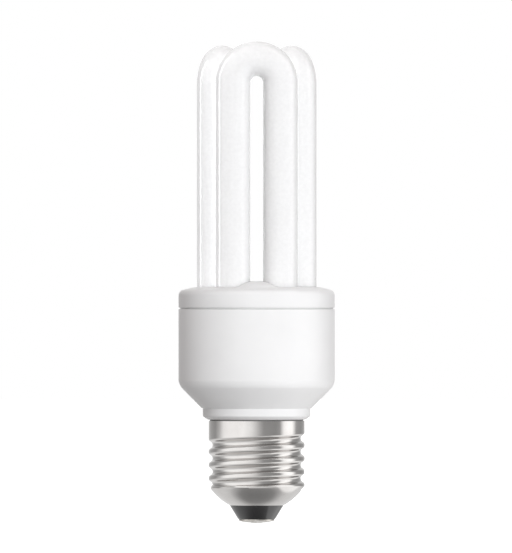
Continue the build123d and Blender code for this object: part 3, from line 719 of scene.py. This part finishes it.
def layFloor():
    reach = floorMake["reach"]
    letGo()
    bpy.ops.mesh.primitive_plane_add(size=floorMake["size"], location=(0, 0, cadBox[0].z))
    floor = bpy.context.object
    floor.name = "floor"
    material, tree = newMaterial("Pale studio floor")
    place = addNode(tree, "ShaderNodeTexCoord")
    split = addNode(tree, "ShaderNodeSeparateXYZ", links={0: place.outputs["Object"]})
    across = addNode(tree, "ShaderNodeMapRange", {"From Min": -reach * mm, "From Max": reach * mm},
                     {"Value": split.outputs["X"]})
    stops = [(0.5 + x / reach / 2, colour(tone)) for x, tone in floorMake["tones"]]
    paper = addNode(tree, "ShaderNodeValToRGB", {"stops": stops}, {"Fac": across.outputs[0]})
    matt = addNode(tree, "ShaderNodeBsdfDiffuse", links={"Color": paper.outputs[0]})
    seen = addNode(tree, "ShaderNodeLightPath")
    lift = addNode(tree, "ShaderNodeMath", {"operation": "MULTIPLY", 1: floorMake["lift"]},
                   {0: seen.outputs["Is Camera Ray"]})
    glow = addNode(tree, "ShaderNodeEmission", links={"Strength": lift.outputs[0]})
    both = addNode(tree, "ShaderNodeAddShader", links={0: matt.outputs[0], 1: glow.outputs[0]})
    finishMaterial(tree, both)
    floor.data.materials.append(material)
    floor.visible_glossy = False  # the metal shows the painted room instead


# Lamps: a soft key from the front right, a tall strip that only the glass sees, and one behind
lampsMake = {
    "keyLamp": {"azimuth": 20, "rise": 4, "wide": 0.28, "tall": 0.28, "power": 8.6, "mirrored": False},
    "glassFill": {"azimuth": -104, "rise": 22, "wide": 0.22, "tall": 1.5, "power": 9.0, "mirrored": True},
    "backLamp": {"azimuth": 165, "rise": 20, "wide": 0.28, "tall": 0.28, "power": 4.6, "mirrored": False},
}
lampsSet = {"distance": 1.2, "aim": 70, "tint": "#FAFDFF"}  # metres, and mm up the lamp


def hangLamps():
    for name, lamp in lampsMake.items():
        azimuth, rise = math.radians(lamp["azimuth"]), math.radians(lamp["rise"])
        level = math.cos(rise)
        way = Vector((math.sin(azimuth) * level, -math.cos(azimuth) * level, math.sin(rise)))
        place = Vector((0, 0, lampsSet["aim"] * mm)) + way * lampsSet["distance"]
        bpy.ops.object.light_add(type="AREA", location=place)
        light = bpy.context.object
        light.name = name
        light.rotation_euler = way.to_track_quat("Z", "Y").to_euler()
        light.data.shape = "RECTANGLE"
        light.data.size = lamp["wide"]
        light.data.size_y = lamp["tall"]
        light.data.energy = lamp["power"]
        light.data.color = colour(lampsSet["tint"])[:3]
        light.visible_glossy = lamp["mirrored"]
    tube = bpy.data.objects["dischargeTube"]
    glassOnly = bpy.data.collections.new("litByGlassFill")
    glassOnly.objects.link(tube)
    bpy.data.objects["glassFill"].light_linking.receiver_collection = glassOnly
    noShade = bpy.data.collections.new("throwsNoShade")  # the powdered glass lets the key lamp through
    noShade.objects.link(tube)
    noShade.collection_objects[0].light_linking.link_state = "EXCLUDE"
    bpy.data.objects["keyLamp"].light_linking.blocker_collection = noShade


# Room: white to the camera, an even glow on matt things, and pale and grey panels for the metal to mirror
roomMake = {"low": 0.4, "high": 0.76, "tint": "#FFFAF9", "mirror": 1.8,
            "horizonLow": -0.4, "horizonHigh": -0.12, "cardStart": 0.54, "cardEnd": 0.6}
mirrorRoom = [(-180, 1.05), (-163, 0.75), (-150, 0.58), (-139, 0.52), (-117, 0.44), (-101, 0.76), (-87, 1.36),
              (-74, 1.5), (-31, 1.5), (-11, 1.2), (-2, 0.95), (8, 0.65), (17, 0.45), (47, 0.4), (58, 0.5),
              (69, 1.55), (82, 1.8), (95, 1.8), (110, 0.52), (129, 0.42), (150, 0.5),
              (165, 0.8)]  # azimuth from the camera, level
mirrorGround = [(-1.0, 0.28), (-0.92, 0.36), (-0.86, 0.58), (-0.78, 0.84), (-0.68, 0.94),
                (-0.4, 0.95)]  # how far down it looks, level


def paintMirror(tree, way, split):
    # panels by azimuth above the horizon; below it a darker ground, with a pale card on the right
    strength = {"Strength": roomMake["mirror"]}
    turned = addNode(tree, "ShaderNodeMapping", {"Rotation": (0, 0, math.pi / 2)},
                     {"Vector": way.outputs["Generated"]})
    around = addNode(tree, "ShaderNodeTexGradient", {"gradient_type": "RADIAL"},
                     {"Vector": turned.outputs[0]})
    stops = [(0.5 + azimuth / 360, grey(level / roomMake["mirror"])) for azimuth, level in mirrorRoom]
    panels = addNode(tree, "ShaderNodeValToRGB", {"stops": stops}, {"Fac": around.outputs["Fac"]})
    upright = addNode(tree, "ShaderNodeBackground", strength, {"Color": panels.outputs[0]})
    down = addNode(tree, "ShaderNodeMath", {"operation": "ADD", 1: 1.0}, {0: split.outputs["Z"]})
    stops = [(1 + z, grey(level / roomMake["mirror"])) for z, level in mirrorGround]
    ground = addNode(tree, "ShaderNodeValToRGB", {"stops": stops}, {"Fac": down.outputs[0]})
    groundShade = addNode(tree, "ShaderNodeBackground", strength, {"Color": ground.outputs[0]})
    card = addNode(tree, "ShaderNodeBackground", strength)
    toRight = addNode(tree, "ShaderNodeMapRange",
                      {"From Min": roomMake["cardStart"], "From Max": roomMake["cardEnd"]},
                      {"Value": split.outputs["X"]})
    below = addNode(tree, "ShaderNodeMixShader",
                    links={0: toRight.outputs[0], 1: groundShade.outputs[0], 2: card.outputs[0]})
    rise = addNode(tree, "ShaderNodeMapRange",
                   {"From Min": roomMake["horizonLow"], "From Max": roomMake["horizonHigh"]},
                   {"Value": split.outputs["Z"]})
    return addNode(tree, "ShaderNodeMixShader",
                   links={0: rise.outputs[0], 1: below.outputs[0], 2: upright.outputs[0]})


def paintRoom():
    world = bpy.data.worlds.new("studioRoom")
    bpy.context.scene.world = world
    world.use_nodes = True
    tree = world.node_tree
    tree.nodes.clear()
    seen = addNode(tree, "ShaderNodeLightPath")
    way = addNode(tree, "ShaderNodeTexCoord")
    split = addNode(tree, "ShaderNodeSeparateXYZ", links={0: way.outputs["Generated"]})
    mirror = paintMirror(tree, way, split)
    ceiling = addNode(tree, "ShaderNodeMapRange", {"To Min": roomMake["low"], "To Max": roomMake["high"]},
                      {"Value": split.outputs["Z"]})
    room = addNode(tree, "ShaderNodeBackground", {"Color": colour(roomMake["tint"])},
                   {"Strength": ceiling.outputs[0]})
    white = addNode(tree, "ShaderNodeBackground", {"Color": grey(1), "Strength": 1.0})
    shiny = addNode(tree, "ShaderNodeMixShader",
                    links={0: seen.outputs["Is Glossy Ray"], 1: room.outputs[0], 2: mirror.outputs[0]})
    behind = addNode(tree, "ShaderNodeMath", {"operation": "MAXIMUM"},
                     {0: seen.outputs["Is Camera Ray"], 1: seen.outputs["Is Transmission Ray"]})
    both = addNode(tree, "ShaderNodeMixShader",
                   links={0: behind.outputs[0], 1: shiny.outputs[0], 2: white.outputs[0]})
    addNode(tree, "ShaderNodeOutputWorld", links={"Surface": both.outputs[0]})


# Camera: level, straight on and far off, so that the lamp's rings are drawn as straight lines
cameraMake = {"distance": 4000, "height": 67.17, "side": -0.18, "frameHeight": 150.7, "sensor": 36,
              "farClip": 30}


def setCamera():
    c = cameraMake
    letGo()
    bpy.ops.object.camera_add(location=(c["side"] * mm, -c["distance"] * mm, c["height"] * mm),
                              rotation=(math.pi / 2, 0, 0))
    camera = bpy.context.object
    camera.data.sensor_width = c["sensor"]
    camera.data.lens = c["sensor"] * c["distance"] / c["frameHeight"]
    camera.data.clip_end = c["farClip"]
    bpy.context.scene.camera = camera


layFloor()
hangLamps()
paintRoom()
setCamera()
bpy.context.scene.view_settings.view_transform = "Standard"
print("studio and camera set")

letGo()
